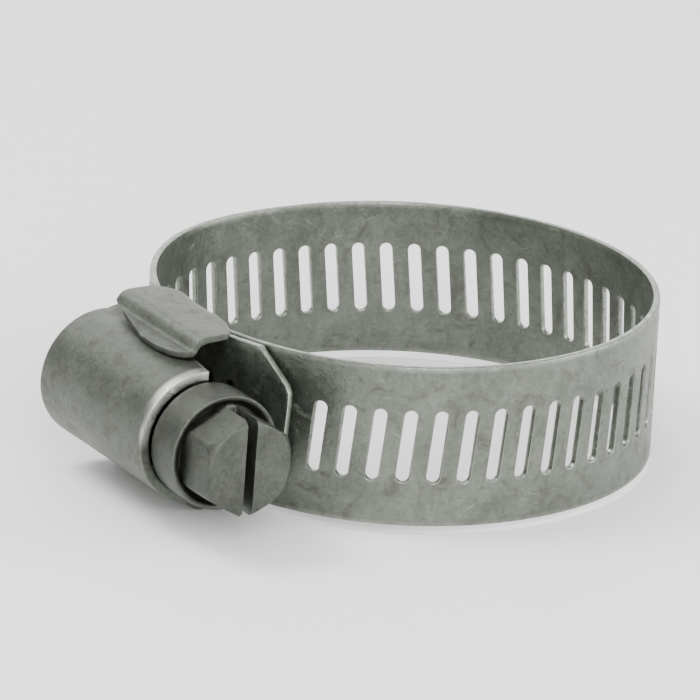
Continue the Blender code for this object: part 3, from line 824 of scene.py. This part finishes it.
# Screw: thread, shank, dished collar and slotted hexagon
def turned(name, profile, steps):
    """A round solid about the X axis through the screw's centre, from (x, radius) points with closed ends."""
    bm = bmesh.new()
    rings = []
    for x, r in profile:
        if r < 1e-6:
            rings.append([bm.verts.new((x * MM, AXIS_Y * MM, 0))])
        else:
            rings.append([bm.verts.new((x * MM, (AXIS_Y + r * math.cos(a)) * MM, r * math.sin(a) * MM)) for a in np.linspace(0, 2 * math.pi, steps, endpoint=False)])
    for ra, rb in zip(rings, rings[1:]):
        for k in range(steps):
            j = (k + 1) % steps
            face = [ra[k % len(ra)], ra[j % len(ra)], rb[j % len(rb)], rb[k % len(rb)]]
            face = list(dict.fromkeys(face))
            if len(face) > 2:
                bm.faces.new(face)
    bmesh.ops.recalc_face_normals(bm, faces=bm.faces)
    mesh = bpy.data.meshes.new(name)
    bm.to_mesh(mesh)
    bm.free()
    obj = bpy.data.objects.new(name, mesh)
    bpy.context.scene.collection.objects.link(obj)
    return obj


def rounded(profile, radius=0.12, steps=3):
    """The profile with its corners cut to small arcs."""
    out = [profile[0]]
    for a, b, c in zip(profile, profile[1:], profile[2:]):
        a, b, c = map(np.array, (a, b, c))
        u, v = a - b, c - b
        lu, lv = np.linalg.norm(u), np.linalg.norm(v)
        r = min(radius, lu * 0.45, lv * 0.45)
        p, q = b + u / lu * r, b + v / lv * r
        for k in range(steps + 1):
            t = k / steps
            out.append(tuple((1 - t) ** 2 * p + 2 * t * (1 - t) * b + t * t * q))
    out.append(profile[-1])
    return out


# x of the slot under the worm that the thread's crest stands in
phase = None
for s in tail_slots:
    x = TAIL_R * math.sin(s / TAIL_R)
    if phase is None or abs(x) < abs(phase):
        phase = x
turns = int((THREAD_X1 - THREAD_X0 - THREAD_ROOT_W) / SLOT_PITCH * 4) / 4
start_x = THREAD_X0 + THREAD_ROOT_W / 2
start_angle = 2 * math.pi * ((start_x - phase) / SLOT_PITCH % 1.0)
section_points = [(-0.62, THREAD_ROOT_R - 0.3), (-0.525, THREAD_ROOT_R), (-0.34, THREAD_CREST_R - 0.12), (-0.24, THREAD_CREST_R),
                  (0.24, THREAD_CREST_R), (0.34, THREAD_CREST_R - 0.12), (0.525, THREAD_ROOT_R), (0.62, THREAD_ROOT_R - 0.3)]
bm = bmesh.new()
per = 64
count = int(per * turns)
previous = None
for i in range(count + 1):
    a = start_angle + 2 * math.pi * i / per
    x0 = start_x + SLOT_PITCH * i / per
    fade = smooth(min(i, count - i) / (per * 0.35))  # the thread runs out at both ends
    ring = []
    for dx, r in section_points:
        rr = THREAD_ROOT_R - 0.3 + (r - THREAD_ROOT_R + 0.3) * (0.25 + 0.75 * fade)
        ring.append(bm.verts.new(((x0 + dx) * MM, (AXIS_Y + rr * math.cos(a)) * MM, rr * math.sin(a) * MM)))
    if previous:
        for k in range(len(ring)):
            j = (k + 1) % len(ring)
            bm.faces.new((previous[k], previous[j], ring[j], ring[k]))
    else:
        bm.faces.new(ring)
    previous = ring
bm.faces.new(previous[::-1])
bmesh.ops.recalc_face_normals(bm, faces=bm.faces)
mesh = bpy.data.meshes.new("thread")
bm.to_mesh(mesh)
bm.free()
thread = bpy.data.objects.new("thread", mesh)
bpy.context.scene.collection.objects.link(thread)

core = turned("core", rounded([
    (THREAD_X0 - 0.9, 0.0), (THREAD_X0 - 0.9, PILOT_R), (THREAD_X0 - 0.3, THREAD_ROOT_R), (THREAD_X1 + 0.4, THREAD_ROOT_R),
    (THREAD_X1 + 0.6, SHANK_R), (COLLAR_X0, SHANK_R), (COLLAR_X0, COLLAR_R), (COLLAR_X1, COLLAR_R),
    (COLLAR_X1, COLLAR_R - 0.42), (COLLAR_X1 - 0.75, COLLAR_R - 0.85), (COLLAR_X1 - 0.75, 0.0)], 0.22, 4), 96)

hex_r = HEX_AF / math.sqrt(3)
bm = bmesh.new()
bmesh.ops.create_cone(bm, cap_ends=True, segments=6, radius1=hex_r * MM, radius2=hex_r * MM, depth=(HEX_X1 - COLLAR_X1 + 1.6) * MM)
found = max(v.co.y for v in bm.verts)
if found < hex_r * MM * 0.99:
    bmesh.ops.rotate(bm, verts=bm.verts, matrix=Matrix.Rotation(math.pi / 6, 3, "Z"))
turn = Matrix(((0, 0, 1, (HEX_X1 + COLLAR_X1 - 1.6) / 2 * MM), (1, 0, 0, AXIS_Y * MM), (0, 1, 0, 0), (0, 0, 0, 1)))
bmesh.ops.transform(bm, matrix=turn, verts=bm.verts)
bmesh.ops.recalc_face_normals(bm, faces=bm.faces)
mesh = bpy.data.meshes.new("hexagon")
bm.to_mesh(mesh)
bm.free()
hexagon = bpy.data.objects.new("hexagon", mesh)
bpy.context.scene.collection.objects.link(hexagon)
chamfer = turned("chamfer", [(COLLAR_X1 - 3, 0.0), (COLLAR_X1 - 3, 4.46), (HEX_X1 - 0.72, 4.46), (HEX_X1 - 0.34, 4.27), (HEX_X1 - 0.08, 3.98), (HEX_X1, 3.84), (HEX_X1, 0.0)], 96)
bm = bmesh.new()
bmesh.ops.create_cube(bm, size=1, matrix=Matrix.Translation(Vector((HEX_X1 + 0.5 - SLOT_HEAD_DEPTH / 2 + 0.25, AXIS_Y, 0)) * MM) @ Matrix.Diagonal(((SLOT_HEAD_DEPTH + 1.5) * MM, SLOT_HEAD_W * MM, 12 * MM, 1)))
mesh = bpy.data.meshes.new("slot_cutter")
bm.to_mesh(mesh)
bm.free()
cutter = bpy.data.objects.new("slot_cutter", mesh)
bpy.context.scene.collection.objects.link(cutter)


def boolean(obj, other, operation):
    m = obj.modifiers.new(operation, "BOOLEAN")
    m.operation, m.solver, m.object = operation, "EXACT", other


boolean(hexagon, chamfer, "INTERSECT")
boolean(hexagon, cutter, "DIFFERENCE")
bevel = hexagon.modifiers.new("Rounding", "BEVEL")
bevel.width, bevel.segments, bevel.limit_method, bevel.angle_limit = 0.10 * MM, 2, "ANGLE", math.radians(28)
hexagon = settle(hexagon, "hexagon")
boolean(core, thread, "UNION")
boolean(core, hexagon, "UNION")
screw = settle(core, "worm_screw_detailed")
for o in (thread, hexagon, chamfer, cutter):
    bpy.data.objects.remove(o, do_unlink=True)
screw.data.transform(Matrix.Translation((0, AXIS_Y * MM, 0)) @ Matrix.Rotation(SCREW_TURN, 4, "X") @ Matrix.Translation((0, -AXIS_Y * MM, 0)))
wear_from_shape(screw, angle=55)
screw.data.materials.clear()
screw.data.materials.append(screw_steel)
screw.data.shade_smooth()
screw.data.set_sharp_from_angle(angle=math.radians(38))
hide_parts("worm_screw")
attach(screw, "screw")

# ---------------------------------------------------------------------------------------------
# Floor, light and camera
# ---------------------------------------------------------------------------------------------
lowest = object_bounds()[0][2]
bpy.ops.mesh.primitive_plane_add(size=3, location=(0, 0, lowest - 0.00005))
floor = bpy.context.object
floor.name = "floor"
fm = bpy.data.materials.new("Floor")
fm.use_nodes = True
fm.node_tree.nodes["Principled BSDF"].inputs["Base Color"].default_value = (0.93, 0.93, 0.93, 1)
fm.node_tree.nodes["Principled BSDF"].inputs["Roughness"].default_value = 0.9
floor.data.materials.append(fm)

world = bpy.data.worlds.new("Studio") if bpy.context.scene.world is None else bpy.context.scene.world
bpy.context.scene.world = world
world.use_nodes = True
bg = world.node_tree.nodes["Background"]
bg.inputs["Color"].default_value = (0.80, 0.82, 0.80, 1)
bg.inputs["Strength"].default_value = 1.0


def area(name, location, size, power, target=(0, 0, 0)):
    data = bpy.data.lights.new(name, "AREA")
    data.shape = "RECTANGLE"
    data.size, data.size_y = size
    data.energy = power
    obj = bpy.data.objects.new(name, data)
    obj.location = location
    obj.rotation_euler = (Vector(target) - Vector(location)).to_track_quat("-Z", "Y").to_euler()
    bpy.context.scene.collection.objects.link(obj)
    return obj


PHI, ELEV, ROLL = math.radians(58), math.radians(19.72), math.radians(2.84)
back = Vector((math.sin(PHI) * math.cos(ELEV), -math.cos(PHI) * math.cos(ELEV), math.sin(ELEV)))
r0 = Vector((math.cos(PHI), math.sin(PHI), 0))
u0 = back.cross(r0)
right = math.cos(ROLL) * r0 + math.sin(ROLL) * u0
up = math.cos(ROLL) * u0 - math.sin(ROLL) * r0


def from_view(x, y, z):
    """A point x to the right, y up and z towards the camera, in metres."""
    return right * x + up * y + back * z


area("key", from_view(-0.26, 0.44, 0.12), (0.22, 0.22), 2.2)
area("fill", from_view(0.50, 0.12, 0.10), (0.35, 0.35), 2.6)
area("front", from_view(0.12, 0.10, 0.60), (0.40, 0.40), 4.2)
area("top", Vector((0, 0, 0.55)), (0.5, 0.5), 0.6)
area("rim", from_view(-0.05, 0.35, -0.45), (0.5, 0.3), 1.3)

D = 0.55798
aim = -4.59 * MM * right + 0.71 * MM * up
cam_data = bpy.data.cameras.new("camera")
cam_data.sensor_width = 36
cam_data.lens = 6351 / 700 * 36
cam_data.clip_start, cam_data.clip_end = 0.05, 10
cam = bpy.data.objects.new("camera", cam_data)
bpy.context.scene.collection.objects.link(cam)
m = Matrix.Identity(4)
for i in range(3):
    m[i][0], m[i][1], m[i][2] = right[i], up[i], back[i]
    m[i][3] = (aim + D * back)[i]
cam.matrix_world = m
bpy.context.scene.camera = cam
